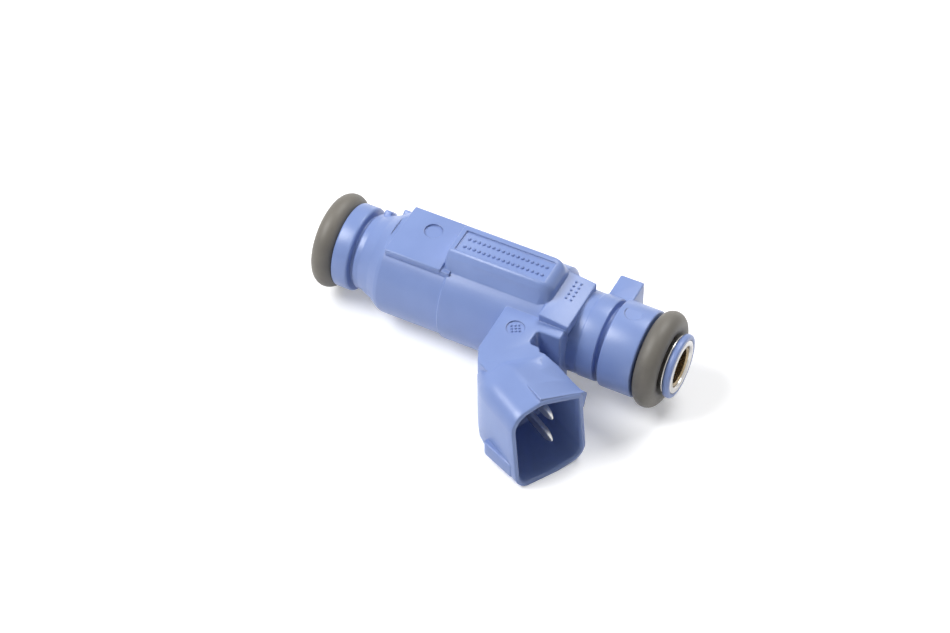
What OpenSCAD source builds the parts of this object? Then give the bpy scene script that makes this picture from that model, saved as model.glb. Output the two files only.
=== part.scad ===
// Port fuel injector, 27 separate pieces, millimetres.
// X runs along the injector from the nozzle (seal centre at 0) to the fuel inlet.
// The electrical socket leans from -Y towards +X. Z is up, across the raised block.

/* [Seals] */
// Outer radius of both O-rings
seal_r = 7.3; // [7:0.1:8.8]
// Thickness of the O-ring cord
seal_cord = 3.5; // [3.3:0.1:3.6]
// Distance between the two O-ring centres
seal_pitch = 52.26; // [50:0.01:62.8]

/* [Plastic body] */
// Largest radius of the round body
body_r = 8.15; // [8:0.05:9.8]
// Wall of the plastic over the coil case
mould_wall = 0.8; // [0.7:0.05:0.9]
// Height of the raised block above the axis
block_top = 10.1; // [9.9:0.1:12.2]
// Half width of the raised block at its top
block_half_w = 3; // [2.5:0.1:3.6]
// Radius of the collar beside the upper O-ring
rail_collar_r = 6.6; // [6.2:0.1:7]
// Radius of the collar beside the clip slot
neck_collar_r = 6.2; // [5.9:0.1:6.5]
// Width of the retaining clip slot
clip_slot_w = 0.9; // [0.75:0.05:1.1]
// Depth of the retaining clip slot
clip_slot_depth = 1.1; // [0.9:0.1:1.3]
// Reach of the locating lug from the axis
lug_reach = 10.2; // [8.5:0.1:12.2]

/* [Electrical socket] */
// Lean of the socket from the X axis in degrees
socket_lean = 30; // [28:1:32]
// Outer half width of the socket
socket_half_w = 6; // [5.8:0.1:6.9]
// Outer half height of the socket
socket_half_h = 7.3; // [6.6:0.1:7.4]
// Wall of the socket
socket_wall = 0.8; // [0.7:0.05:0.85]
// Depth of the socket
socket_depth = 9; // [8.9:0.1:9.3]
// Height between the two blade centres
blade_pitch = 4.8; // [4.6:0.1:5.1]
// Height of each blade
blade_h = 1.8; // [1.5:0.1:1.9]
// Thickness of each blade
blade_t = 0.7; // [0.6:0.05:0.8]

/* [Valve] */
// Wall of the steel tubes
tube_wall = 0.7; // [0.6:0.05:0.75]
// Radius of the valve ball
ball_r = 1.6; // [1.4:0.05:1.8]
// Radius of the needle tube
needle_r = 1.1; // [1:0.05:1.2]
// Opening travel of the valve
valve_lift = 0.1; // [0.05:0.01:0.12]
// Running clearance round the moving parts
run_clear = 0.05; // [0.03:0.01:0.08]

/* [Hidden] */
$fn = 96;
cut = 1;
tube_r = seal_r - seal_cord;
bore_r = tube_r - tube_wall;
main_r = body_r - 0.35;
yoke_r = main_r - mould_wall;
yoke_wall = 0.6;
coil_r = yoke_r - yoke_wall;
hub_r = tube_r + 0.7;
seal_half = seal_cord / 2;
seal_bulge = 0.05;

// stations along X, nozzle end
retainer_x = -seal_half - 0.55;
flange_x1 = 4.4;
mould_x0 = 5;
panel_x0 = 10.2;
panel_x1 = 19.2;
block_x0 = 19.5;

// stations along X, inlet end
mould_x1 = seal_pitch - seal_half - 0.21;
collar_x0 = seal_pitch - 7.06;
slot_x0 = collar_x0 - clip_slot_w;
neck_x0 = seal_pitch - 12.26;
block_x1 = seal_pitch - 16.26;
ring_x0 = seal_pitch + seal_half + 0.3;
inlet_x = seal_pitch + 3.44;
web_x0 = seal_pitch - 21.96;

// coil and magnetic circuit
yoke_x0 = 12;
yoke_base = 1;
yoke_x1 = web_x0 - 1.6;
washer_t = 1.5;
bobbin_x0 = yoke_x0 + yoke_base;
bobbin_x1 = yoke_x1 - washer_t;
cheek_t = 1;
tower_x1 = web_x0 + 2;
tower_half_h = blade_pitch / 2 + blade_h / 2 + 0.3;
tower_y0 = -yoke_r + 0.1;
tower_y1 = -hub_r - 0.1;

// valve train
seat_gap = 0.02;
weld_gap = 0.02;
seat_x0 = -seal_half + 0.15;
disc_t = 0.3;
ball_x = 2;
seat_apex = ball_x - (ball_r + seat_gap) / sin(45);
seat_x1 = 1.6;
seat_hole_r = 0.6;
guide_x1 = 3.4;
sleeve_x0 = 15;
pole_x0 = 20;
pole_x1 = 31;
sleeve_x1 = pole_x0 + 0.5;
pole_bore_r = 1.5;
armature_x0 = 13.4;
armature_gap = valve_lift + 0.02;
needle_x1 = 16;
pocket_r = 1.4;
spring_r = 1.2;
spring_wire_r = 0.25;
spring_turns = 7;
spring_x0 = needle_x1 + 0.05;
adjuster_x0 = 26;
adjuster_x1 = 33;

// fuel filter
filter_x0 = 42;
filter_x1 = inlet_x - 1.9;
filter_r = bore_r - 0.35;
filter_wall = 0.5;
mesh_t = 0.1;
rib_count = 3;

// electrical socket
mouth_x = seal_pitch - 7.76;
mouth_y = -body_r - 11.95;
socket_len = 10;
socket_round = 2.6;
blade_v = 1.1;
blade_tip = 1;
bend_back = (mouth_x - (web_x0 + 0.65)) / cos(socket_lean);
bend_x = mouth_x - bend_back * cos(socket_lean);
bend_y = mouth_y + bend_back * sin(socket_lean);
web_z = 5.9;
wedge_out = 1;

// ---- shared shapes ----

// a solid turned about X, points are [radius, x]
module turned(points) {
    rotate([0, 90, 0]) rotate_extrude() polygon(points);
}

// a round bar along X
module bar(x0, x1, r) {
    translate([x0, 0, 0]) rotate([0, 90, 0]) cylinder(h = x1 - x0, r = r);
}

// a tube along X
module tube(x0, x1, r_out, r_in) {
    difference() {
        bar(x0, x1, r_out);
        bar(x0 - cut, x1 + cut, r_in);
    }
}

// a box from corner to corner
module block(lo, hi) {
    translate(lo) cube(hi - lo);
}

// a flat outline with round corners, centred
module round_rect(half_w, half_h, r) {
    square([2 * half_w, 2 * (half_h - r)], center = true);
    square([2 * (half_w - r), 2 * half_h], center = true);
    for (sy = [-1, 1]) for (sz = [-1, 1])
        translate([sy * (half_w - r), sz * (half_h - r)]) circle(r = r);
}

// places children in the socket's own frame: x out of the mouth, y across, z up
module in_socket() {
    translate([mouth_x, mouth_y, 0]) rotate([0, 0, -socket_lean]) children();
}

// a flat outline carried along the socket axis between two depths
module along_socket(x0, x1) {
    in_socket() translate([x0, 0, 0]) rotate([90, 0, 90]) linear_extrude(x1 - x0) children();
}

// an O-ring with a narrow land at its outer edge
module o_ring(x) {
    round_r = seal_half + seal_bulge;
    translate([x, 0, 0]) rotate([0, 90, 0]) rotate_extrude() intersection() {
        translate([tube_r + seal_half, 0]) circle(r = round_r);
        translate([tube_r, -seal_cord]) square([seal_cord, 2 * seal_cord]);
    }
}

// ---- plastic body ----

module body_turned() {
    turned([[0, mould_x0], [5.8, mould_x0], [5.8, 5.9], [6.1, 6.6], [6.6, 7.9], [main_r - 0.2, 9.5],
        [main_r, 10], [main_r, block_x0 + 0.4], [body_r, block_x0 + 0.8], [body_r, block_x1 - 0.4],
        [body_r - 0.4, block_x1], [neck_collar_r, block_x1 + 0.1], [neck_collar_r, slot_x0],
        [neck_collar_r - clip_slot_depth, slot_x0], [neck_collar_r - clip_slot_depth, collar_x0],
        [rail_collar_r - 0.2, collar_x0], [rail_collar_r, collar_x0 + 0.2],
        [rail_collar_r, mould_x1 - 0.2], [rail_collar_r - 0.2, mould_x1], [0, mould_x1]]);
}

// stop that interrupts the clip slot on the far side
module slot_stop() {
    block([slot_x0 - 0.2, 3.2, -2.6], [collar_x0 + 0.2, neck_collar_r - 0.6, 2.6]);
}

module raised_block() {
    rise = block_top - 6;
    intersection() {
        translate([block_x0, 0, 0]) rotate([90, 0, 90]) linear_extrude(block_x1 - block_x0)
            polygon([[-4.6, 4], [-4.6, 6], [-block_half_w - 0.3, block_top - 0.6],
                [-block_half_w, block_top], [block_half_w, block_top],
                [block_half_w + 0.3, block_top - 0.6], [4.6, 6], [4.6, 4]]);
        translate([0, 5, 0]) rotate([90, 0, 0]) linear_extrude(10)
            polygon([[block_x0, 0], [block_x0, block_top - 0.8], [block_x0 + 0.8, block_top],
                [block_x1 - 2, block_top], [block_x1 - 0.6, block_top - 0.6],
                [block_x1, block_top - 2], [block_x1, block_top - rise], [block_x1, 0]]);
    }
}

module saddle() {
    translate([0, 3.6, 0]) rotate([90, 0, 0]) linear_extrude(9.6)
        polygon([[block_x1 - 0.2, 4], [block_x1 - 0.2, 7.3], [neck_x0 + 0.3, 6.7], [neck_x0 + 0.3, 4]]);
}

module web() {
    translate([0, 0, -web_z]) linear_extrude(2 * web_z)
        polygon([[web_x0, -4], [web_x0, mouth_y + 5.6], [web_x0 + 1.6, mouth_y + 3.9],
            [mouth_x - 9, mouth_y + 5.2], [mouth_x - 6.6, mouth_y + 9.6],
            [mouth_x - 7.9, mouth_y + 12.3], [neck_x0, mouth_y + 12.3], [neck_x0, -4]]);
}

module socket_outer() {
    along_socket(-socket_len, 0) round_rect(socket_half_w, socket_half_h, socket_round);
    along_socket(-socket_len - 1.5, -socket_len + cut)
        round_rect(socket_half_w - 1, socket_half_h - 1, socket_round - 0.5);
    for (side = [-1, 1]) socket_wedge(side);
}

// low ramp that a plug's latch snaps over
module socket_wedge(side) {
    in_socket() translate([0, 0, -5]) linear_extrude(2)
        polygon([[-7, side * (socket_half_w - 0.4)], [-7, side * (socket_half_w + wedge_out)],
            [-6, side * (socket_half_w + wedge_out)], [-2, side * (socket_half_w - 0.1)],
            [-2, side * (socket_half_w - 0.4)]]);
}

module socket_hollow() {
    along_socket(-socket_depth, cut) round_rect(socket_half_w - socket_wall,
        socket_half_h - socket_wall, socket_round - socket_wall);
}

module lug() {
    block([slot_x0 - 3.1, 2, -2.6], [collar_x0 - 0.2, lug_reach, 2.7]);
}

module top_panel() {
    block([panel_x0, -4.6, 2], [panel_x1, 4.6, main_r]);
}

// everything the plastic is moulded round
module moulded_in() {
    bar(mould_x0 - cut, mould_x1 + cut, tube_r);
    bar(yoke_x0, yoke_x1, yoke_r);
    tower_box(0);
    terminal(1);
    terminal(-1);
}

module overmould() {
    color([0.42, 0.5, 0.78]) difference() {
        union() {
            body_turned();
            slot_stop();
            raised_block();
            top_panel();
            saddle();
            web();
            socket_outer();
            lug();
        }
        socket_hollow();
        block([block_x0 + 0.8, -2, block_top - 0.3], [block_x1 - 1, 1.6, block_top + cut]);
        translate([14.9, 1.5, main_r - 0.25]) cylinder(h = cut, r = 1.4);
        moulded_in();
    }
}

// ---- sealing and ends ----

module nozzle_collar() {
    collar_start = seal_half + seal_bulge;
    rim_r = seal_r - 0.8;
    neck_r = tube_r + 1.4;
    edge = 0.3;
    color([0.42, 0.5, 0.78]) turned([[tube_r, collar_start], [rim_r - edge, collar_start],
        [rim_r, collar_start + edge], [rim_r, flange_x1 - edge], [rim_r - edge, flange_x1],
        [neck_r, flange_x1], [neck_r, mould_x0], [tube_r, mould_x0]]);
}

module lower_retainer() {
    color([0.3, 0.32, 0.38]) turned([[tube_r, retainer_x], [tube_r + 0.5, retainer_x],
        [tube_r + 0.7, retainer_x + 0.2], [tube_r + 0.7, -seal_half - seal_bulge],
        [tube_r, -seal_half - seal_bulge]]);
}

module lower_o_ring() {
    color([0.4, 0.38, 0.35]) o_ring(0);
}

module upper_o_ring() {
    color([0.4, 0.38, 0.35]) o_ring(seal_pitch);
}

module tip_ring() {
    rim_r = tube_r + 1.05;
    color([0.42, 0.5, 0.78]) turned([[tube_r, ring_x0], [rim_r - 0.3, ring_x0], [rim_r, ring_x0 + 0.3],
        [rim_r, inlet_x - 0.5], [rim_r - 0.4, inlet_x - 0.1], [tube_r + 0.3, inlet_x - 0.1],
        [tube_r + 0.3, inlet_x - 0.6], [tube_r, inlet_x - 0.6]]);
}

// ---- steel tubes and magnetic circuit ----

module inlet_tube() {
    color([0.8, 0.8, 0.82]) turned([[bore_r, sleeve_x1], [tube_r, sleeve_x1], [tube_r, inlet_x - 0.6],
        [tube_r + 0.3, inlet_x - 0.6], [tube_r + 0.3, inlet_x - 0.1], [tube_r + 0.15, inlet_x],
        [bore_r + 0.3, inlet_x], [bore_r, inlet_x - 0.4]]);
}

module nonmagnetic_sleeve() {
    color([0.7, 0.7, 0.66]) tube(sleeve_x0, sleeve_x1, tube_r, bore_r);
}

module pole_core() {
    color([0.6, 0.6, 0.62]) tube(pole_x0, pole_x1, bore_r, pole_bore_r);
}

module yoke_housing() {
    color([0.55, 0.55, 0.58]) difference() {
        bar(yoke_x0, yoke_x1, yoke_r);
        bar(yoke_x0 + yoke_base, yoke_x1 + cut, coil_r);
        bar(yoke_x0 - cut, yoke_x1, tube_r);
        tower_box(0.1);
    }
}

module yoke_washer() {
    color([0.55, 0.55, 0.58]) difference() {
        tube(bobbin_x1, yoke_x1, coil_r, tube_r);
        tower_box(0.1);
    }
}

module tower_box(gap) {
    block([bobbin_x1 - cheek_t - gap, tower_y0 - gap, -tower_half_h - gap],
        [tower_x1 + gap, tower_y1 + gap, tower_half_h + gap]);
}

module coil_bobbin() {
    color([0.15, 0.15, 0.16]) difference() {
        union() {
            bar(bobbin_x0, bobbin_x1, hub_r);
            bar(bobbin_x0, bobbin_x0 + cheek_t, coil_r);
            bar(bobbin_x1 - cheek_t, bobbin_x1, coil_r);
            tower_box(0);
        }
        bar(bobbin_x0 - cut, bobbin_x1 + cut, tube_r + 0.03);
        terminal(1);
        terminal(-1);
    }
}

module coil_winding() {
    color([0.72, 0.36, 0.16]) tube(bobbin_x0 + cheek_t, bobbin_x1 - cheek_t, coil_r - 0.3, hub_r);
}

// ---- valve ----

module valve_body() {
    color([0.8, 0.8, 0.82]) tube(seat_x0 - disc_t - 0.2, sleeve_x0, tube_r, bore_r);
}

module orifice_disc() {
    hole_r = 0.2;
    color([0.75, 0.75, 0.75]) difference() {
        bar(seat_x0 - disc_t, seat_x0, bore_r);
        for (turn = [45 : 90 : 315])
            rotate([turn, 0, 0]) translate([0, 0.35, 0]) bar(seat_x0 - disc_t - cut, seat_x0 + cut, hole_r);
    }
}

module valve_seat() {
    color([0.7, 0.7, 0.72]) turned([[seat_hole_r, seat_x0], [bore_r, seat_x0], [bore_r, seat_x1],
        [seat_x1 - seat_apex, seat_x1], [seat_hole_r, seat_apex + seat_hole_r]]);
}

module needle_guide() {
    ring_r = ball_r + run_clear;
    color([0.7, 0.7, 0.72]) difference() {
        tube(seat_x1, guide_x1, bore_r, ring_r);
        for (turn = [0 : 60 : 300])
            rotate([turn, 0, 0]) translate([0, ring_r + 0.5, 0]) bar(seat_x1 - cut, guide_x1 + cut, 0.4);
    }
}

module valve_ball() {
    color([0.85, 0.85, 0.86]) translate([ball_x, 0, 0]) sphere(r = ball_r);
}

module needle_tube() {
    in_r = needle_r - 0.35;
    color([0.75, 0.75, 0.76]) difference() {
        turned([[in_r, ball_x + sqrt(ball_r * ball_r - in_r * in_r) + weld_gap], [in_r, needle_x1],
            [needle_r, needle_x1],
            [needle_r, ball_x + sqrt(ball_r * ball_r - needle_r * needle_r) + weld_gap]]);
        for (x = [5 : 2.5 : 10]) translate([x, 0, 0]) cylinder(h = 2 * needle_r, r = 0.35);
    }
}

module armature() {
    groove = 0.3;
    end_x = pole_x0 - armature_gap;
    out_r = bore_r - run_clear;
    color([0.6, 0.6, 0.62]) turned([[needle_r, armature_x0], [out_r - 0.6, armature_x0],
        [out_r - 0.6, armature_x0 + 1], [out_r, armature_x0 + 1.3], [out_r, end_x - 2],
        [out_r - groove, end_x - 2], [out_r - groove, end_x - 1.4], [out_r, end_x - 1.4],
        [out_r, end_x], [pocket_r, end_x], [pocket_r, needle_x1], [needle_r, needle_x1]]);
}

module return_spring() {
    color([0.5, 0.5, 0.52]) translate([spring_x0, 0, 0]) rotate([0, 90, 0])
        linear_extrude(height = adjuster_x0 - spring_x0, twist = -360 * spring_turns,
            slices = 18 * spring_turns, $fn = 12)
            translate([spring_r - spring_wire_r, 0]) circle(r = spring_wire_r, $fn = 12);
}

module adjusting_sleeve() {
    slit = 0.4;
    color([0.75, 0.75, 0.76]) difference() {
        tube(adjuster_x0, adjuster_x1, pole_bore_r, pole_bore_r - 0.5);
        block([adjuster_x0 - cut, -slit / 2, 0], [adjuster_x1 + cut, slit / 2, 2]);
    }
}

// ---- fuel filter ----

module filter_frame() {
    color([0.5, 0.35, 0.2]) difference() {
        union() {
            tube(filter_x1 - 1.2, filter_x1, bore_r, filter_r - filter_wall);
            tube(filter_x0 + 0.8, filter_x1, filter_r, filter_r - filter_wall);
            bar(filter_x0, filter_x0 + 1, filter_r);
        }
        for (i = [0 : rib_count - 1]) rotate([i * 360 / rib_count, 0, 0])
            block([filter_x0 + 1.8, -1.6, 0.9], [filter_x1 - 2, 1.6, filter_r + cut]);
    }
}

module filter_mesh() {
    mesh_r = filter_r - filter_wall;
    color([0.6, 0.45, 0.25]) tube(filter_x0 + 1, filter_x1 - 1, mesh_r, mesh_r - mesh_t);
}

module filter_collar() {
    color([0.78, 0.62, 0.3]) turned([[bore_r - 0.5, filter_x1], [bore_r, filter_x1],
        [bore_r, inlet_x - 0.5], [bore_r - 0.2, inlet_x - 0.3], [bore_r - 0.5, inlet_x - 0.5]]);
}

// ---- terminals ----

// one bent strip: blade in the socket, leg into the bobbin tower
module terminal(side) {
    half_t = blade_t / 2;
    leg_x = bend_x + blade_v * sin(socket_lean);
    leg_y = bend_y + blade_v * cos(socket_lean);
    translate([0, 0, side * blade_pitch / 2 - blade_h / 2]) linear_extrude(blade_h) {
        translate([mouth_x, mouth_y]) rotate(-socket_lean) polygon([[-bend_back, blade_v - half_t],
            [-blade_tip - 1, blade_v - half_t], [-blade_tip, blade_v - 0.12], [-blade_tip, blade_v + 0.12],
            [-blade_tip - 1, blade_v + half_t], [-bend_back, blade_v + half_t]]);
        translate([leg_x, leg_y]) circle(r = half_t);
        translate([leg_x - half_t, leg_y]) square([blade_t, tower_y0 + 1.3 - leg_y]);
    }
}

module terminal_upper() {
    color([0.82, 0.82, 0.8]) terminal(1);
}

module terminal_lower() {
    color([0.82, 0.82, 0.8]) terminal(-1);
}

overmould();
nozzle_collar();
lower_retainer();
lower_o_ring();
upper_o_ring();
tip_ring();
inlet_tube();
pole_core();
nonmagnetic_sleeve();
valve_body();
orifice_disc();
valve_seat();
needle_guide();
valve_ball();
needle_tube();
armature();
return_spring();
adjusting_sleeve();
filter_frame();
filter_mesh();
filter_collar();
coil_bobbin();
coil_winding();
yoke_housing();
yoke_washer();
terminal_upper();
terminal_lower();
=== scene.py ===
# Port fuel injector: moulded blue body, rubber seals, bright tubes and the valve inside
import bpy
import bmesh
import math
from mathutils import Matrix, Vector


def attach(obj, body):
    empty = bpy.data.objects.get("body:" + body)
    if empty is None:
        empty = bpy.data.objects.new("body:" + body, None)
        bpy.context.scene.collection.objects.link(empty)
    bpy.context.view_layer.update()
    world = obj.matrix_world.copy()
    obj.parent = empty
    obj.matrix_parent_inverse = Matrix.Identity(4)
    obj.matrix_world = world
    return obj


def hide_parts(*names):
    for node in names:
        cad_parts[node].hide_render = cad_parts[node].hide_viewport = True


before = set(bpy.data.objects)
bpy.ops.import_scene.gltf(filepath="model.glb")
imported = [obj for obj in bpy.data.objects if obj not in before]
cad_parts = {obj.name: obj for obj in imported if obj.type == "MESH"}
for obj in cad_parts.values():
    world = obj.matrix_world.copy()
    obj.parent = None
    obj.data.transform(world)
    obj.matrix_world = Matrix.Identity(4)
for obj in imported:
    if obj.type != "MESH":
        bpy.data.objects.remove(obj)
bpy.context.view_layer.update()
mm = 0.001


# mesh helpers, with every size in millimetres

def newPiece(name, bm):
    mesh = bpy.data.meshes.new(name)
    bm.to_mesh(mesh)
    bm.free()
    mesh.transform(Matrix.Scale(mm, 4))
    obj = bpy.data.objects.new(name, mesh)
    bpy.context.scene.collection.objects.link(obj)
    return obj


def shadeByAngle(obj, degrees):
    mesh = obj.data
    mesh.polygons.foreach_set("use_smooth", [True] * len(mesh.polygons))
    mesh.set_sharp_from_angle(angle=math.radians(degrees))
    mesh.update()


def softLoop(corners, steps=5):
    # corners are (a, b, round); each corner is swapped for a short arc
    out = []
    count = len(corners)
    for i, (a, b, r) in enumerate(corners):
        here = Vector((a, b))
        if r <= 0:
            out.append(here)
            continue
        before = Vector(corners[i - 1][:2]) - here
        after = Vector(corners[(i + 1) % count][:2]) - here
        turn = before.angle(after)
        reach = min(r / math.tan(turn / 2), 0.48 * before.length, 0.48 * after.length)
        p0 = here + before.normalized() * reach
        p2 = here + after.normalized() * reach
        bisect = (before.normalized() + after.normalized()).normalized()
        middle = here + bisect * (reach / math.cos(turn / 2))
        v0 = p0 - middle
        sweep = math.pi - turn
        side = 1 if v0.x * (p2 - middle).y - v0.y * (p2 - middle).x > 0 else -1
        for k in range(steps + 1):
            t = side * sweep * k / steps
            out.append(middle + Vector((v0.x * math.cos(t) - v0.y * math.sin(t),
                                        v0.x * math.sin(t) + v0.y * math.cos(t))))
    return out


def turned(name, corners, around=144, steps=5):
    # corners are (x, radius, round), a closed outline turned about the X axis
    loop = softLoop(corners, steps)
    bm = bmesh.new()
    rings = []
    for k in range(around):
        t = 2 * math.pi * k / around
        rings.append([bm.verts.new((p.x, p.y * math.cos(t), p.y * math.sin(t))) for p in loop])
    for k in range(around):
        one, two = rings[k], rings[(k + 1) % around]
        for i in range(len(loop)):
            j = (i + 1) % len(loop)
            bm.faces.new((one[i], one[j], two[j], two[i]))
    bmesh.ops.remove_doubles(bm, verts=bm.verts, dist=1e-5)
    bmesh.ops.recalc_face_normals(bm, faces=bm.faces)
    return newPiece(name, bm)


def loft(bm, sections):
    # sections are lists of points of equal count; closes both ends
    rings = [[bm.verts.new(p) for p in s] for s in sections]
    count = len(rings[0])
    for one, two in zip(rings, rings[1:]):
        for i in range(count):
            j = (i + 1) % count
            bm.faces.new((one[i], one[j], two[j], two[i]))
    bm.faces.new(rings[0])
    bm.faces.new(rings[-1])
    bmesh.ops.recalc_face_normals(bm, faces=bm.faces)


def prism(name, outline, low, high, soft, flat="xy", place=None):
    # outline points are (a, b); flat picks the plane they lie in
    spots = {"xy": lambda a, b, c: (a, b, c), "xz": lambda a, b, c: (a, c, b)}
    put = spots[flat]
    bm = bmesh.new()
    loft(bm, [[put(a, b, low) for a, b in outline], [put(a, b, high) for a, b in outline]])
    if soft > 0:
        bmesh.ops.bevel(bm, geom=bm.edges[:], offset=soft, segments=4, profile=0.5,
                        affect="EDGES", clamp_overlap=True)
    if place is not None:
        bmesh.ops.transform(bm, matrix=place, verts=bm.verts)
    bmesh.ops.recalc_face_normals(bm, faces=bm.faces)
    return newPiece(name, bm)


def combine(base, others, operation):
    for other in others:
        mod = base.modifiers.new("join", "BOOLEAN")
        mod.operation = operation
        mod.solver = "EXACT"
        mod.object = other
    graph = bpy.context.evaluated_depsgraph_get()
    mesh = bpy.data.meshes.new_from_object(base.evaluated_get(graph))
    base.modifiers.clear()
    base.data = mesh
    for other in others:
        bpy.data.objects.remove(other)
    return base


def tidyMesh(obj, dist=0.004):
    bm = bmesh.new()
    bm.from_mesh(obj.data)
    bmesh.ops.remove_doubles(bm, verts=bm.verts, dist=dist * mm)
    bmesh.ops.dissolve_degenerate(bm, edges=bm.edges, dist=dist * mm * 0.5)
    bm.to_mesh(obj.data)
    bm.free()


# node helpers

def putNode(tree, kind, spot, **sets):
    node = tree.nodes.new(kind)
    node.location = spot
    for key, value in sets.items():
        setattr(node, key, value)
    return node


def newGroup(name, ins, outs, kind="ShaderNodeTree"):
    tree = bpy.data.node_groups.new(name, kind)
    for label, socket, value in ins:
        made = tree.interface.new_socket(label, in_out="INPUT", socket_type=socket)
        if value is not None:
            made.default_value = value
    for label, socket in outs:
        tree.interface.new_socket(label, in_out="OUTPUT", socket_type=socket)
    start = putNode(tree, "NodeGroupInput", (-900, 0))
    end = putNode(tree, "NodeGroupOutput", (900, 0))
    return tree, start, end


def makeGrainGroup():
    # mottled colour, roughness and fine height for moulded or drawn surfaces
    tree, start, end = newGroup("surfaceGrain", [
        ("Colour", "NodeSocketColor", (0.5, 0.5, 0.5, 1)), ("Shade", "NodeSocketColor", (0.4, 0.4, 0.4, 1)),
        ("Blotch Size", "NodeSocketFloat", 150.0), ("Grain Size", "NodeSocketFloat", 2500.0),
        ("Roughness", "NodeSocketFloat", 0.4), ("Spread", "NodeSocketFloat", 0.1)],
        [("Colour", "NodeSocketColor"), ("Roughness", "NodeSocketFloat"), ("Height", "NodeSocketFloat")])
    place = putNode(tree, "ShaderNodeTexCoord", (-900, -300))
    blotch = putNode(tree, "ShaderNodeTexNoise", (-600, 200))
    grain = putNode(tree, "ShaderNodeTexNoise", (-600, -200))
    blotch.inputs["Detail"].default_value = 4
    grain.inputs["Detail"].default_value = 3
    link = tree.links.new
    link(place.outputs["Object"], blotch.inputs["Vector"])
    link(place.outputs["Object"], grain.inputs["Vector"])
    link(start.outputs["Blotch Size"], blotch.inputs["Scale"])
    link(start.outputs["Grain Size"], grain.inputs["Scale"])
    mix = putNode(tree, "ShaderNodeMix", (0, 200), data_type="RGBA")
    ramp = putNode(tree, "ShaderNodeMapRange", (-300, 200))
    ramp.inputs["From Min"].default_value = 0.35
    ramp.inputs["From Max"].default_value = 0.65
    link(blotch.outputs["Fac"], ramp.inputs["Value"])
    link(ramp.outputs["Result"], mix.inputs["Factor"])
    link(start.outputs["Colour"], mix.inputs["A"])
    link(start.outputs["Shade"], mix.inputs["B"])
    link(mix.outputs["Result"], end.inputs["Colour"])
    centre = putNode(tree, "ShaderNodeMath", (-300, -100), operation="SUBTRACT")
    centre.inputs[1].default_value = 0.5
    scale = putNode(tree, "ShaderNodeMath", (-100, -100), operation="MULTIPLY")
    total = putNode(tree, "ShaderNodeMath", (100, -100), operation="ADD")
    link(grain.outputs["Fac"], centre.inputs[0])
    link(centre.outputs[0], scale.inputs[0])
    link(start.outputs["Spread"], scale.inputs[1])
    link(scale.outputs[0], total.inputs[0])
    link(start.outputs["Roughness"], total.inputs[1])
    link(total.outputs[0], end.inputs["Roughness"])
    link(grain.outputs["Fac"], end.inputs["Height"])
    return tree


def makePaintedHighlightGroup():
    # a soft normal at edges and a mask that is 1 on edges, where a lighter colour is painted on as a highlight
    tree, start, end = newGroup("edgeHighlightPaint", [
        ("Width", "NodeSocketFloat", 0.0002), ("Amount", "NodeSocketFloat", 1.0)],
        [("Highlight Mask", "NodeSocketFloat"), ("Normal", "NodeSocketVector")])
    soft = putNode(tree, "ShaderNodeBevel", (-600, 0), samples=6)
    flat = putNode(tree, "ShaderNodeNewGeometry", (-600, -200))
    dot = putNode(tree, "ShaderNodeVectorMath", (-350, -100), operation="DOT_PRODUCT")
    ramp = putNode(tree, "ShaderNodeMapRange", (-150, -100))
    ramp.inputs["From Min"].default_value = 0.995
    ramp.inputs["From Max"].default_value = 0.8
    scale = putNode(tree, "ShaderNodeMath", (100, -100), operation="MULTIPLY")
    link = tree.links.new
    link(start.outputs["Width"], soft.inputs["Radius"])
    link(soft.outputs["Normal"], dot.inputs[0])
    link(flat.outputs["Normal"], dot.inputs[1])
    link(dot.outputs["Value"], ramp.inputs["Value"])
    link(ramp.outputs["Result"], scale.inputs[0])
    link(start.outputs["Amount"], scale.inputs[1])
    link(scale.outputs[0], end.inputs["Highlight Mask"])
    link(soft.outputs["Normal"], end.inputs["Normal"])
    return tree


grainGroup = makeGrainGroup()
paintedHighlightGroup = makePaintedHighlightGroup()
print("node groups built")

# each finish gives a lighter edge colour and its amount, a painted highlight on the edges
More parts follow.
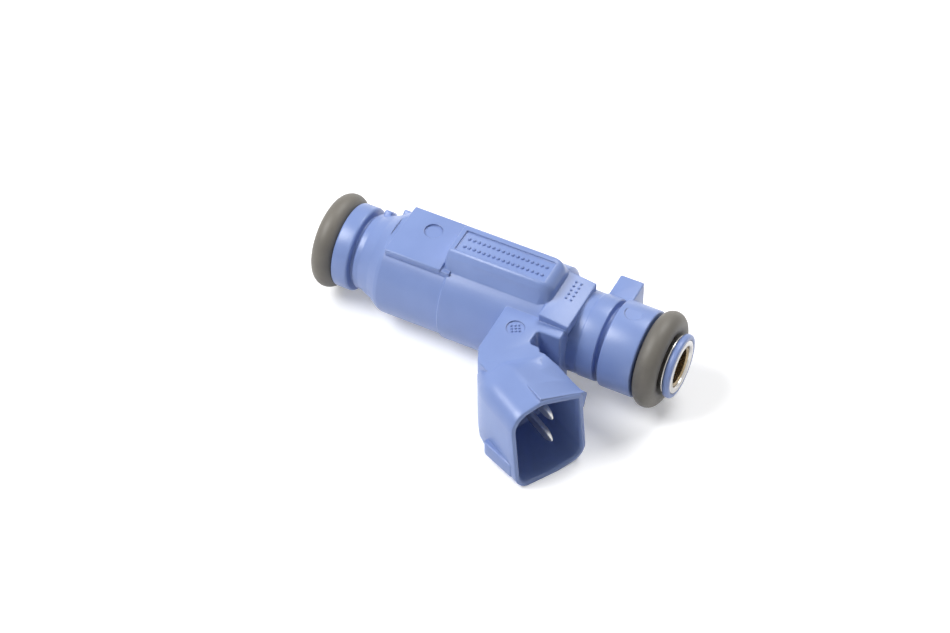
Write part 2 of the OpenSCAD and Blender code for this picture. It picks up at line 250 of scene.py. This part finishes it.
finishes = {
    "bluePlastic": {"colour": (0.195, 0.275, 0.545), "shade": (0.175, 0.25, 0.51), "rough": 0.33,
                    "spread": 0.18, "blotch": 120, "grain": 3200, "bump": 0.05, "edge": 0.00022, "highlightAmount": 0.25,
                    "highlightColour": (0.34, 0.41, 0.66), "metal": 0},
    "sealRubber": {"colour": (0.15, 0.138, 0.118), "shade": (0.12, 0.112, 0.098), "rough": 0.5, "spread": 0.2,
                   "blotch": 200, "grain": 2600, "bump": 0.08, "edge": 0.0001, "highlightAmount": 0.1,
                   "highlightColour": (0.2, 0.19, 0.17), "metal": 0},
    "tubeSteel": {"colour": (0.62, 0.61, 0.6), "shade": (0.52, 0.51, 0.5), "rough": 0.2, "spread": 0.12,
                  "blotch": 300, "grain": 4000, "bump": 0.03, "edge": 0.0001, "highlightAmount": 0.3,
                  "highlightColour": (0.8, 0.8, 0.8), "metal": 1},
    "magnetSteel": {"colour": (0.4, 0.4, 0.42), "shade": (0.3, 0.3, 0.31), "rough": 0.36, "spread": 0.2,
                    "blotch": 250, "grain": 3000, "bump": 0.06, "edge": 0.0001, "highlightAmount": 0.4,
                    "highlightColour": (0.62, 0.62, 0.63), "metal": 1},
    "ballSteel": {"colour": (0.72, 0.72, 0.74), "shade": (0.66, 0.66, 0.68), "rough": 0.09, "spread": 0.06,
                  "blotch": 500, "grain": 5000, "bump": 0.01, "edge": 0.0001, "highlightAmount": 0.1,
                  "highlightColour": (0.85, 0.85, 0.85), "metal": 1},
    "darkPlastic": {"colour": (0.03, 0.03, 0.035), "shade": (0.022, 0.022, 0.025), "rough": 0.45, "spread": 0.2,
                    "blotch": 200, "grain": 3000, "bump": 0.06, "edge": 0.0001, "highlightAmount": 0.3,
                    "highlightColour": (0.1, 0.1, 0.11), "metal": 0},
    "filterPlastic": {"colour": (0.2, 0.11, 0.045), "shade": (0.15, 0.085, 0.035), "rough": 0.4, "spread": 0.2,
                      "blotch": 300, "grain": 3000, "bump": 0.06, "edge": 0.0001, "highlightAmount": 0.3,
                      "highlightColour": (0.3, 0.2, 0.1), "metal": 0},
    "filterBrass": {"colour": (0.4, 0.32, 0.2), "shade": (0.3, 0.23, 0.14), "rough": 0.28, "spread": 0.15,
                    "blotch": 300, "grain": 3000, "bump": 0.04, "edge": 0.0001, "highlightAmount": 0.4,
                    "highlightColour": (0.8, 0.65, 0.4), "metal": 1},
    "copperWire": {"colour": (0.55, 0.2, 0.08), "shade": (0.42, 0.14, 0.05), "rough": 0.3, "spread": 0.15,
                   "blotch": 300, "grain": 3000, "bump": 0.04, "edge": 0.0001, "highlightAmount": 0.2,
                   "highlightColour": (0.75, 0.4, 0.25), "metal": 1},
    "tinPlate": {"colour": (0.78, 0.78, 0.76), "shade": (0.7, 0.7, 0.68), "rough": 0.42, "spread": 0.15,
                 "blotch": 300, "grain": 3500, "bump": 0.03, "edge": 0.0001, "highlightAmount": 0.3,
                 "highlightColour": (0.8, 0.8, 0.78), "metal": 1},
    "retainerPlastic": {"colour": (0.06, 0.07, 0.1), "shade": (0.045, 0.05, 0.075), "rough": 0.45,
                        "spread": 0.2, "blotch": 200, "grain": 3000, "bump": 0.05, "edge": 0.0001, "highlightAmount": 0.3,
                        "highlightColour": (0.14, 0.15, 0.19), "metal": 0},
}


def makeFinish(name, look):
    mat = bpy.data.materials.new(name)
    mat.use_nodes = True
    tree = mat.node_tree
    link = tree.links.new
    shader = tree.nodes["Principled BSDF"]
    grain = putNode(tree, "ShaderNodeGroup", (-900, 200), node_tree=grainGroup)
    grain.inputs["Colour"].default_value = (*look["colour"], 1)
    grain.inputs["Shade"].default_value = (*look["shade"], 1)
    grain.inputs["Blotch Size"].default_value = look["blotch"]
    grain.inputs["Grain Size"].default_value = look["grain"]
    grain.inputs["Roughness"].default_value = look["rough"]
    grain.inputs["Spread"].default_value = look["spread"]
    edge = putNode(tree, "ShaderNodeGroup", (-900, -200), node_tree=paintedHighlightGroup)
    edge.inputs["Width"].default_value = look["edge"]
    edge.inputs["Amount"].default_value = look["highlightAmount"]
    # painted highlight: a lighter colour mixed in on the edges, standing in for light catching them
    mix = putNode(tree, "ShaderNodeMix", (-500, 200), data_type="RGBA")
    link(edge.outputs["Highlight Mask"], mix.inputs["Factor"])
    link(grain.outputs["Colour"], mix.inputs["A"])
    mix.inputs["B"].default_value = (*look["highlightColour"], 1)
    bump = putNode(tree, "ShaderNodeBump", (-400, -200))
    bump.inputs["Strength"].default_value = look["bump"]
    bump.inputs["Distance"].default_value = 0.0002
    link(grain.outputs["Height"], bump.inputs["Height"])
    link(edge.outputs["Normal"], bump.inputs["Normal"])
    link(mix.outputs["Result"], shader.inputs["Base Color"])
    link(grain.outputs["Roughness"], shader.inputs["Roughness"])
    link(bump.outputs["Normal"], shader.inputs["Normal"])
    shader.inputs["Metallic"].default_value = look["metal"]
    return mat


finish = {name: makeFinish(name, look) for name, look in finishes.items()}
print("materials built")


def dress(obj, look):
    obj.data.materials.clear()
    obj.data.materials.append(finish[look])


def declare(obj, body, slotName, *nodes):
    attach(obj, body)
    if nodes:
        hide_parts(*nodes)


# moulded body

body = {
    "mouldStart": 5.0, "mouldEnd": 50.3, "bore": 3.8, "coilBore": 7.0, "coilFrom": 12.0, "coilTo": 28.7,
    "smallRound": 7.8, "bigRound": 8.15, "neckRound": 6.2, "slotFloor": 5.1, "railRound": 6.6,
    "panelHalf": 4.9, "panelTop": 7.5, "blockHalf": 3.1, "blockTop": 10.1, "webTop": 6.0,
    "fewestFaces": 5000,  # a joined body with fewer has lost parts
}
socket = {
    "mouth": (44.5, -20.1), "lean": 30, "wall": 0.85, "deep": 9.0, "back": 10.0, "slant": 0.12,
    # outline across the mouth as (across, up, corner round)
    "outline": [(-6.1, 6.5, 3.6), (-0.8, 7.35, 3.0), (5.9, 5.0, 0.8),
                (5.9, -6.8, 2.6), (-1.0, -7.75, 5.0), (-6.1, -7.1, 2.8)],
}


# the plate over the socket, back to front: out, left, left top, right, right top
roofRows = [(-11.6, -1.6, 6.0, 3.9, 6.0), (-9.0, -0.95, 6.45, 5.2, 5.95), (-6.5, -0.9, 7.0, 5.75, 5.5),
            (-3.0, -0.9, 7.5, 5.95, 5.2), (-0.9, -0.9, 7.6, 6.2, 5.0), (-0.25, -0.9, 7.55, 6.75, 4.75)]


def socketPlace():
    turn = Matrix.Rotation(math.radians(-socket["lean"]), 4, "Z")
    return Matrix.Translation((*socket["mouth"], 0)) @ turn


def inset(corners, gap):
    # moves every side of an outline inwards by gap
    out = []
    count = len(corners)
    for i, (a, b, r) in enumerate(corners):
        here = Vector((a, b))
        one = (here - Vector(corners[i - 1][:2])).normalized()
        two = (Vector(corners[(i + 1) % count][:2]) - here).normalized()
        n1, n2 = Vector((one.y, -one.x)), Vector((two.y, -two.x))
        both = (n1 + n2).normalized()
        p = here + both * (gap / max(both.dot(n1), 0.3))
        out.append((p.x, p.y, max(r - gap, 0.3)))
    return out


def slanted(u, z):
    # the mouth leans a little: its lower lip stands out further than its upper one
    share = min(max((u + 7) / 6, 0), 1)
    return u - socket["slant"] * z * share


def socketRing(out, gap):
    return [Vector((slanted(out, p.y), p.x, p.y)) for p in softLoop(inset(socket["outline"], gap), 7)]


def makeSocketShell():
    bm = bmesh.new()
    back, wall, deep = socket["back"], socket["wall"], socket["deep"]
    loft(bm, [socketRing(-back - 2.6, 2.2), socketRing(-back - 1.0, 1.25), socketRing(-back, 0.7),
              socketRing(-back + 0.8, 0.3), socketRing(-back + 2.0, 0.06), socketRing(-back + 3.0, 0.0),
              socketRing(-5, 0.0), socketRing(-3, 0.0), socketRing(-1.5, 0.0),
              socketRing(-0.4, 0.0), socketRing(-0.12, 0.07), socketRing(0.0, 0.26),
              socketRing(0.0, wall - 0.22), socketRing(-0.12, wall - 0.06), socketRing(-0.4, wall),
              socketRing(-deep + 0.4, wall + 0.05), socketRing(-deep, wall + 0.4)])
    bmesh.ops.transform(bm, matrix=socketPlace(), verts=bm.verts)
    return newPiece("socketShell", bm)


def makeRoof():
    # flat plate over the socket, one plane with the web behind it
    bm = bmesh.new()
    rows = []
    for u, left, leftTop, right, rightTop in roofRows:
        edge = [(left, 4.2), (left, leftTop - 0.08), (left + 0.12, leftTop),
                (right - 0.2, rightTop), (right, rightTop - 0.25), (right - 0.7, 2.2)]
        rows.append([(slanted(u, z), v, z) for v, z in edge])
    loft(bm, rows)
    bmesh.ops.transform(bm, matrix=socketPlace(), verts=bm.verts)
    return newPiece("socketRoof", bm)


def makeBody():
    b = body
    core = turned("mouldedBody", [
        (b["mouldStart"], b["bore"], 0), (b["mouldStart"], 5.8, 0.2), (5.9, 5.8, 0.4), (6.6, 6.1, 0.5),
        (7.9, 6.6, 0.8), (9.5, 7.6, 0.8), (10.1, b["smallRound"], 0.6), (20.1, b["smallRound"], 0.15),
        (20.35, b["bigRound"], 0.2), (35.6, b["bigRound"], 0.3), (36.0, 7.6, 0.25), (36.1, b["neckRound"], 0.2),
        (41.6, b["neckRound"], 0.1), (41.75, 6.3, 0.1), (44.3, 6.3, 0.18), (44.3, b["slotFloor"], 0.1),
        (45.2, b["slotFloor"], 0.1), (45.2, b["railRound"], 0.2), (b["mouldEnd"], b["railRound"], 0.25),
        (b["mouldEnd"], b["bore"], 0), (b["coilTo"], b["bore"], 0), (b["coilTo"], b["coilBore"], 0),
        (b["coilFrom"], b["coilBore"], 0), (b["coilFrom"], b["bore"], 0)], around=160, steps=4)
    flatCut = prism("flatCut", [(9.6, -4.6), (19.8, -4.6), (19.8, 4.6), (9.6, 4.6)], b["panelTop"] - 0.1, 9, 0)
    combine(core, [flatCut], "DIFFERENCE")
    block = makeRaisedBlock(b["blockHalf"], b["blockTop"])
    p = b["panelHalf"]
    foot = p - 0.12
    panel = prism("topPanel", [(10.2, -p), (19.3, -p), (19.3, p), (10.2, p)], 6.5, b["panelTop"], 0.2)
    panelFoot = prism("panelFoot", [(10.33, -foot), (20.7, -foot), (20.7, foot), (10.33, foot)], 4.6, 7.15, 0)
    saddle = prism("saddle", [(35.7, 5.0), (35.7, 7.35), (40.3, 6.65), (40.3, 5.0)], -6.0, 3.6, 0.15, "xz")
    web = prism("web", [(30.3, -5), (30.3, -14.2), (31.4, -16.6), (35.0, -18.4), (39.5, -12.6), (38.0, -10.4),
                        (36.8, -10.4), (36.4, -10.0), (36.4, -8.2), (36.8, -7.8), (40.0, -7.8), (40.0, -5)],
                -b["webTop"], b["webTop"], 0.35)
    lug = prism("lug", [(41.2, 3), (45.0, 3), (45.0, 10.2), (41.2, 10.2)], -2.6, 2.7, 0.25)
    stop = prism("slotStop", [(44.0, 4.4), (45.5, 4.4), (45.5, 6.1), (44.0, 6.1)], -2.6, 2.6, 0.05)
    parts = [block, panel, panelFoot, saddle, web, makeSocketShell(), makeRoof(), lug, stop]
    for side in (-1, 1):
        # plug guides low on both sides of the socket
        wedge = [(-6.6, 5.45), (-6.6, 6.7), (-6.0, 6.9), (-0.6, 6.2), (-0.6, 5.45)]
        parts.append(prism("wedge", [(u, side * v) for u, v in wedge], -5.4, -2.9, 0.18, place=socketPlace()))
    for x, r, spin in ((6.0, 6.25, 40), (8.7, 7.2, 38)):
        turn = Matrix.Rotation(math.radians(spin - 90), 4, "X")
        parts.append(prism("hubBump", [(x - 0.6, -1.3), (x + 0.6, -1.3), (x + 0.6, 1.3), (x - 0.6, 1.3)],
                           r - 1.6, r + 0.35, 0.3, place=turn))
    combine(core, parts, "UNION")
    tubeBore = turned("tubeBore", [(4, 0.001, 0), (51, 0.001, 0), (51, b["bore"], 0), (4, b["bore"], 0)], 96)
    cuts = [makeSocketHollow(), makeRecess(), makeDisc("panelDisc", (14.9, 1.6), 1.4, b["panelTop"] - 0.3, 2),
            makeDisc("railDisc", (47.4, 0.9), 1.35, 6.38, 2),
            makeDisc("dateDisc", (33.4, -8.7), 1.35, b["webTop"] - 0.2, 1),
            makeCoilClearance(), tubeBore]
    combine(core, cuts, "DIFFERENCE")
    tidyMesh(core)
    return core


def makeRaisedBlock(hw, top):
    bm = bmesh.new()
    def section(x, drop, narrow):
        w, t = hw - narrow, top - drop
        foot = 4.35 - narrow * 0.7
        loop = softLoop([(-foot, 3.0, 0), (-foot, 6.6, 0.3), (-w - 0.25, t - 1.0, 1.0), (-w + 0.45, t, 0.8),
                         (w - 0.45, t, 0.8), (w + 0.25, t - 1.0, 1.0), (foot, 6.6, 0.3), (foot, 3.0, 0)], 5)
        return [(x, p.x, p.y) for p in loop]
    rows = [section(19.5, 0.45, 0.2), section(19.62, 0.15, 0.07), section(19.95, 0, 0)]
    for k in range(9):
        t = math.radians(90 * k / 8)
        rows.append(section(34.0 + 2.2 * math.sin(t), 2.2 * (1 - math.cos(t)), 1.1 * (1 - math.cos(t))))
    loft(bm, rows)
    return newPiece("raisedBlock", bm)


def makeSocketHollow():
    wall, deep = socket["wall"], socket["deep"]
    bm = bmesh.new()
    loft(bm, [socketRing(-deep, wall + 0.35), socketRing(-deep + 0.4, wall), socketRing(-5, wall),
              socketRing(-3, wall), socketRing(-1.5, wall), socketRing(-0.35, wall),
              socketRing(0.02, wall - 0.24), socketRing(1.5, wall - 0.24)])
    bmesh.ops.transform(bm, matrix=socketPlace(), verts=bm.verts)
    return newPiece("socketHollow", bm)


def makeRecess():
    return prism("blockRecess", [(20.4, -2.35), (34.7, -2.35), (34.7, 1.75), (20.4, 1.75)],
                 body["blockTop"] - 0.28, body["blockTop"] + 1, 0.12)


def makeDisc(name, centre, radius, floor, rise):
    outline = []
    for k in range(40):
        t = 2 * math.pi * k / 40
        outline.append((centre[0] + radius * math.cos(t), centre[1] + radius * math.sin(t)))
    return prism(name, outline, floor, floor + rise, 0)


def makeCoilClearance():
    # room for the bobbin's terminal tower
    return prism("towerRoom", [(25.7, -6.9), (32.3, -6.9), (32.3, -4.4), (25.7, -4.4)], -3.6, 3.6, 0)


mouldedBody = makeBody()
if len(mouldedBody.data.polygons) < body["fewestFaces"]:
    raise RuntimeError("the moulded body lost its shape when its parts were joined")
shadeByAngle(mouldedBody, 38)
dress(mouldedBody, "bluePlastic")
declare(mouldedBody, "injector", "body_plastic", "overmould")
print("moulded body built", len(mouldedBody.data.polygons))


# seals and end rings

seal = {"ringRound": 5.55, "cordRound": 1.75, "nozzleAt": 0.0, "inletAt": 52.26}


def makeSeal(name, x, node):
    # round cord bent into a ring
    steps, around = 48, 160
    bm = bmesh.new()
    rings = []
    for k in range(around):
        t = 2 * math.pi * k / around
        ring = []
        for i in range(steps):
            s = 2 * math.pi * i / steps
            r = seal["ringRound"] + seal["cordRound"] * math.cos(s)
            a = x + seal["cordRound"] * math.sin(s)
            ring.append(bm.verts.new((a, r * math.cos(t), r * math.sin(t))))
        rings.append(ring)
    for k in range(around):
        one, two = rings[k], rings[(k + 1) % around]
        for i in range(steps):
            j = (i + 1) % steps
            bm.faces.new((one[i], one[j], two[j], two[i]))
    bmesh.ops.recalc_face_normals(bm, faces=bm.faces)
    cord = newPiece(name, bm)
    shadeByAngle(cord, 60)
    dress(cord, "sealRubber")
    declare(cord, "injector", "seal_rubber", node)


makeSeal("nozzleSeal", seal["nozzleAt"], "lower_o_ring")
makeSeal("inletSeal", seal["inletAt"], "upper_o_ring")

collar = turned("nozzleCollar", [(1.75, 3.8, 0), (1.75, 6.5, 0.3), (4.4, 6.5, 0.35), (4.4, 5.2, 0.15),
                                 (5.0, 5.2, 0), (5.0, 3.8, 0)])
shadeByAngle(collar, 35)
dress(collar, "bluePlastic")
declare(collar, "injector", "body_plastic", "nozzle_collar")

tipRing = turned("tipRing", [(54.55, 3.85, 0), (54.55, 4.85, 0.45), (55.62, 4.85, 0.55), (55.62, 4.1, 0.1),
                             (55.1, 4.1, 0), (55.1, 3.85, 0)])
shadeByAngle(tipRing, 35)
dress(tipRing, "bluePlastic")
declare(tipRing, "injector", "body_plastic", "tip_ring")

inletTube = turned("inletTube", [(20.5, 3.1, 0), (20.5, 3.8, 0), (54.05, 3.8, 0.1), (54.15, 4.4, 0.12),
                                 (54.5, 4.4, 0.12), (54.5, 3.8, 0), (55.1, 3.8, 0.05), (55.1, 4.08, 0.05),
                                 (55.7, 4.08, 0.3), (55.7, 3.2, 0.35), (55.2, 3.1, 0.1)])
shadeByAngle(inletTube, 35)
dress(inletTube, "tubeSteel")
declare(inletTube, "injector", "tube_steel", "inlet_tube")
print("seals and ends built")


# repeated detail from geometry nodes

def runTree(name, tree, sets, place):
    # evaluates a node tree on an empty mesh and keeps the result as a plain mesh
    holder = bpy.data.objects.new(name, bpy.data.meshes.new(name))
    bpy.context.scene.collection.objects.link(holder)
    mod = holder.modifiers.new("detail", "NODES")
    mod.node_group = tree
    for item in tree.interface.items_tree:
        if item.item_type == "SOCKET" and item.in_out == "INPUT" and item.name in sets:
            mod[item.identifier] = sets[item.name]
    graph = bpy.context.evaluated_depsgraph_get()
    graph.update()
    mesh = bpy.data.meshes.new_from_object(holder.evaluated_get(graph))
    holder.modifiers.clear()
    holder.data = mesh
    mesh.transform(place)
    return holder


def finishTree(tree, geometry, start, end):
    # every tree ends in plain geometry with its material set
    real = putNode(tree, "GeometryNodeRealizeInstances", (500, 0))
    paint = putNode(tree, "GeometryNodeSetMaterial", (700, 0))
    tree.links.new(geometry, real.inputs[0])
    tree.links.new(real.outputs[0], paint.inputs["Geometry"])
    tree.links.new(start.outputs["Finish"], paint.inputs["Material"])
    tree.links.new(paint.outputs[0], end.inputs["Geometry"])


def makeHelixTree():
    # round wire along a spiral
    tree, start, end = newGroup("wireHelix", [
        ("Turns", "NodeSocketFloat", 7.0), ("Steps", "NodeSocketInt", 32), ("Radius", "NodeSocketFloat", 0.001),
        ("Length", "NodeSocketFloat", 0.01), ("Wire", "NodeSocketFloat", 0.00025),
        ("Finish", "NodeSocketMaterial", None)], [("Geometry", "NodeSocketGeometry")], "GeometryNodeTree")
    coil = putNode(tree, "GeometryNodeCurveSpiral", (-500, 100))
    wire = putNode(tree, "GeometryNodeCurvePrimitiveCircle", (-500, -200))
    wire.inputs["Resolution"].default_value = 12
    sweep = putNode(tree, "GeometryNodeCurveToMesh", (0, 0))
    sweep.inputs["Fill Caps"].default_value = True
    link = tree.links.new
    link(start.outputs["Turns"], coil.inputs["Rotations"])
    link(start.outputs["Steps"], coil.inputs["Resolution"])
    link(start.outputs["Radius"], coil.inputs["Start Radius"])
    link(start.outputs["Radius"], coil.inputs["End Radius"])
    link(start.outputs["Length"], coil.inputs["Height"])
    link(start.outputs["Wire"], wire.inputs["Radius"])
    link(coil.outputs["Curve"], sweep.inputs["Curve"])
    link(wire.outputs["Curve"], sweep.inputs["Profile Curve"])
    finishTree(tree, sweep.outputs["Mesh"], start, end)
    return tree


def makePipTree():
    # a regular field of small round pips
    tree, start, end = newGroup("pipField", [
        ("Columns", "NodeSocketInt", 12), ("Rows", "NodeSocketInt", 2), ("Wide", "NodeSocketFloat", 0.01),
        ("Tall", "NodeSocketFloat", 0.001), ("Pip", "NodeSocketFloat", 0.0002),
        ("Finish", "NodeSocketMaterial", None)], [("Geometry", "NodeSocketGeometry")], "GeometryNodeTree")
    grid = putNode(tree, "GeometryNodeMeshGrid", (-500, 100))
    pip = putNode(tree, "GeometryNodeMeshUVSphere", (-500, -200))
    pip.inputs["Segments"].default_value = 12
    pip.inputs["Rings"].default_value = 6
    spread = putNode(tree, "GeometryNodeInstanceOnPoints", (0, 0))
    link = tree.links.new
    link(start.outputs["Wide"], grid.inputs["Size X"])
    link(start.outputs["Tall"], grid.inputs["Size Y"])
    link(start.outputs["Columns"], grid.inputs["Vertices X"])
    link(start.outputs["Rows"], grid.inputs["Vertices Y"])
    link(start.outputs["Pip"], pip.inputs["Radius"])
    link(grid.outputs["Mesh"], spread.inputs["Points"])
    link(pip.outputs["Mesh"], spread.inputs["Instance"])
    finishTree(tree, spread.outputs["Instances"], start, end)
    return tree


helixTree = makeHelixTree()
pipTree = makePipTree()
alongX = Matrix.Rotation(math.radians(90), 4, "Y")

# each wire's turns, steps in a turn, radius, length, wire radius, start and finish
springWire = {"turns": 7.0, "steps": 36, "radius": 0.95, "length": 9.3, "wire": 0.25, "start": 16.42,
              "finish": "tubeSteel"}
coilWire = {"turns": 46.0, "steps": 40, "radius": 5.95, "length": 11.7, "wire": 0.125, "start": 14.2,
            "finish": "copperWire"}


def makeHelix(name, size):
    sets = {"Turns": size["turns"], "Steps": size["steps"], "Radius": size["radius"] * mm,
            "Length": size["length"] * mm, "Wire": size["wire"] * mm, "Finish": finish[size["finish"]]}
    return runTree(name, helixTree, sets, Matrix.Translation((size["start"] * mm, 0, 0)) @ alongX)


spring = makeHelix("returnSpring", springWire)
declare(spring, "injector", "tube_steel", "return_spring")

coilCore = turned("coilWinding", [(14.0, 4.5, 0), (26.1, 4.5, 0), (26.1, 5.85, 0), (14.0, 5.85, 0)], around=96)
dress(coilCore, "copperWire")
declare(coilCore, "injector", "copper_wire", "coil_winding")
coilTurns = makeHelix("coilTurns", coilWire)
declare(coilTurns, "injector", "copper_wire")

# columns, rows, width, height, pip radius, place, turn about Z and tilt about Y
pipFields = {
    "blockPips": (17, 2, 12.4, 1.6, 0.26, (27.6, -0.3, 9.84), 0, 0),
    "saddlePips": (2, 5, 0.8, 3.4, 0.2, (38.1, 0.5, 7.0), 0, 9),
    "datePips": (3, 3, 1.1, 1.1, 0.17, (33.4, -8.7, 5.86), 30, 0),
}
for name, (columns, rows, wide, tall, pip, spot, turn, tilt) in pipFields.items():
    place = (Matrix.Translation(Vector(spot) * mm) @ Matrix.Rotation(math.radians(turn), 4, "Z")
             @ Matrix.Rotation(math.radians(tilt), 4, "Y"))
    field = runTree(name, pipTree, {"Columns": columns, "Rows": rows, "Wide": wide * mm, "Tall": tall * mm,
                                    "Pip": pip * mm, "Finish": finish["bluePlastic"]}, place)
    shadeByAngle(field, 80)
    declare(field, "injector", "body_plastic")
print("repeated detail built")


# terminals

blade = {"across": 1.1, "thick": 0.75, "tall": 1.8, "tip": -1.0, "from": -15.3, "pitch": 4.8, "towerY": -5.7}


def makeTerminal(name, side, node):
    t, h, z = blade["thick"] / 2, blade["tall"] / 2, side * blade["pitch"] / 2
    v = blade["across"]
    bm = bmesh.new()
    rows = []
    for u, half, rise in ((blade["from"], t, h), (-4.0, t, h), (-2.6, t, h), (-1.9, t * 0.85, h * 0.82),
                          (-1.35, t * 0.6, h * 0.55), (blade["tip"], t * 0.25, h * 0.22)):
        loop = softLoop([(v - half, z - rise, 0.12), (v + half, z - rise, 0.12), (v + half, z + rise, 0.12),
                         (v - half, z + rise, 0.12)], 3)
        rows.append([(u, q.x, q.y) for q in loop])
    loft(bm, rows)
    bmesh.ops.transform(bm, matrix=socketPlace(), verts=bm.verts)
    piece = newPiece(name, bm)
    end = socketPlace() @ Vector((blade["from"], v, 0))
    leg = prism("leg", [(end.x - t, end.y - 0.3), (end.x + t, end.y - 0.3), (end.x + t, blade["towerY"]),
                        (end.x - t, blade["towerY"])], z - h, z + h, 0.1)
    combine(piece, [leg], "UNION")
    shadeByAngle(piece, 40)
    dress(piece, "tinPlate")
    declare(piece, "injector", "tin_plate", node)


makeTerminal("terminalUpper", 1, "terminal_upper")
makeTerminal("terminalLower", -1, "terminal_lower")
print("terminals built")


# plain finishes for the carried parts

cadLooks = {
    "lower_retainer": "retainerPlastic", "pole_core": "magnetSteel", "nonmagnetic_sleeve": "tubeSteel",
    "valve_body": "tubeSteel", "orifice_disc": "tubeSteel", "valve_seat": "tubeSteel",
    "needle_guide": "tubeSteel", "valve_ball": "ballSteel", "needle_tube": "tubeSteel",
    "armature": "magnetSteel",
    "adjusting_sleeve": "tubeSteel", "filter_frame": "filterPlastic", "filter_mesh": "filterPlastic",
    "filter_collar": "filterBrass", "coil_bobbin": "darkPlastic", "yoke_housing": "magnetSteel",
    "yoke_washer": "magnetSteel",
}
for node, look in cadLooks.items():
    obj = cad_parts[node]
    obj.data.materials.clear()
    obj.data.materials.append(finish[look])
print("carried parts finished")


# floor, light and camera

stageSet = {"floorSize": 1.6, "floorTilt": 2.75, "drop": 8.16}


def makeFloor():
    mesh = bpy.data.meshes.new("floor")
    s = stageSet["floorSize"] / 2
    tilt = math.tan(math.radians(stageSet["floorTilt"]))
    drop = -stageSet["drop"] * mm
    spots = [(-s, -s), (s, -s), (s, s), (-s, s)]
    mesh.from_pydata([(x, y, drop - tilt * y) for x, y in spots], [], [(0, 1, 2, 3)])
    floor = bpy.data.objects.new("floor", mesh)
    bpy.context.scene.collection.objects.link(floor)
    mat = bpy.data.materials.new("paleFloor")
    mat.use_nodes = True
    tree = mat.node_tree
    link = tree.links.new
    shader = tree.nodes["Principled BSDF"]
    shader.inputs["Base Color"].default_value = (0.88, 0.88, 0.885, 1)
    shader.inputs["Roughness"].default_value = 0.9
    shader.inputs["Specular IOR Level"].default_value = 0.1
    glow = putNode(tree, "ShaderNodeEmission", (0, -300))
    path = putNode(tree, "ShaderNodeLightPath", (-600, -200))
    seen = putNode(tree, "ShaderNodeMath", (-500, -200), operation="MAXIMUM")
    total = putNode(tree, "ShaderNodeMath", (-350, -200), operation="MAXIMUM")
    level = putNode(tree, "ShaderNodeMath", (-200, -200), operation="MULTIPLY")
    level.inputs[1].default_value = 0.3
    join = putNode(tree, "ShaderNodeAddShader", (300, 0))
    out = tree.nodes["Material Output"]
    link(path.outputs["Is Camera Ray"], seen.inputs[0])
    link(path.outputs["Is Glossy Ray"], seen.inputs[1])
    link(seen.outputs[0], total.inputs[0])
    link(path.outputs["Is Transmission Ray"], total.inputs[1])
    link(total.outputs[0], level.inputs[0])
    link(level.outputs[0], glow.inputs["Strength"])
    link(shader.outputs[0], join.inputs[0])
    link(glow.outputs[0], join.inputs[1])
    link(join.outputs[0], out.inputs["Surface"])
    mesh.materials.append(mat)


def makeWorld():
    world = bpy.data.worlds.new("studio")
    bpy.context.scene.world = world
    world.use_nodes = True
    tree = world.node_tree
    link = tree.links.new
    back = tree.nodes["Background"]
    path = putNode(tree, "ShaderNodeLightPath", (-800, 0))
    one = putNode(tree, "ShaderNodeMath", (-600, 0), operation="MAXIMUM")
    two = putNode(tree, "ShaderNodeMath", (-400, 0), operation="MAXIMUM")
    level = putNode(tree, "ShaderNodeMapRange", (-200, 0))
    level.inputs["To Min"].default_value = 0.24
    level.inputs["To Max"].default_value = 1.0
    link(path.outputs["Is Camera Ray"], one.inputs[0])
    link(path.outputs["Is Transmission Ray"], one.inputs[1])
    link(one.outputs[0], two.inputs[0])
    link(path.outputs["Is Glossy Ray"], two.inputs[1])
    link(two.outputs[0], level.inputs["Value"])
    link(level.outputs["Result"], back.inputs["Strength"])
    back.inputs["Color"].default_value = (1, 1, 1, 1)


# place, width in metres and watts
lamps = {"keyLamp": ((-0.3, -0.2, 0.52), 0.34, 3.6), "rimLamp": ((0.1, 0.35, 0.5), 0.35, 2.2)}
lampAim = Vector((0.025, 0, 0))


def makeLamp(name, spot, size, watts):
    data = bpy.data.lights.new(name, "AREA")
    data.shape = "DISK"
    data.size = size
    data.energy = watts
    lamp = bpy.data.objects.new(name, data)
    lamp.location = spot
    lamp.rotation_euler = (lampAim - Vector(spot)).to_track_quat("-Z", "Y").to_euler()
    bpy.context.scene.collection.objects.link(lamp)


view = {"turn": 27.65, "tilt": 48.1, "roll": 0.66, "away": 400.21, "slide": (4.09, 2.3), "aim": (27, 0, 0),
        "lens": 103.84}


def makeCamera():
    a, e, r = (math.radians(view[k]) for k in ("turn", "tilt", "roll"))
    tx, ty = view["slide"]
    y = -ty * math.sin(e) - view["away"] * math.cos(e)
    z = -ty * math.cos(e) + view["away"] * math.sin(e)
    spin = Matrix.Rotation(a, 3, "Z")
    spot = spin @ Vector((-tx, y, z)) + Vector(view["aim"])
    right = spin @ Vector((1, 0, 0))
    up = spin @ Vector((0, math.sin(e), math.cos(e)))
    right, up = right * math.cos(r) - up * math.sin(r), right * math.sin(r) + up * math.cos(r)
    back = right.cross(up)
    turn = Matrix((right, up, back)).transposed().to_4x4()
    data = bpy.data.cameras.new("camera")
    data.lens = view["lens"]
    data.sensor_width = 36
    data.clip_start = 0.01
    data.clip_end = 10
    cam = bpy.data.objects.new("camera", data)
    cam.matrix_world = Matrix.Translation(spot * mm) @ turn
    bpy.context.scene.collection.objects.link(cam)
    bpy.context.scene.camera = cam


makeFloor()
makeWorld()
for name, (spot, size, watts) in lamps.items():
    makeLamp(name, spot, size, watts)
makeCamera()
bpy.context.scene.view_settings.view_transform = "Standard"
print("stage set")
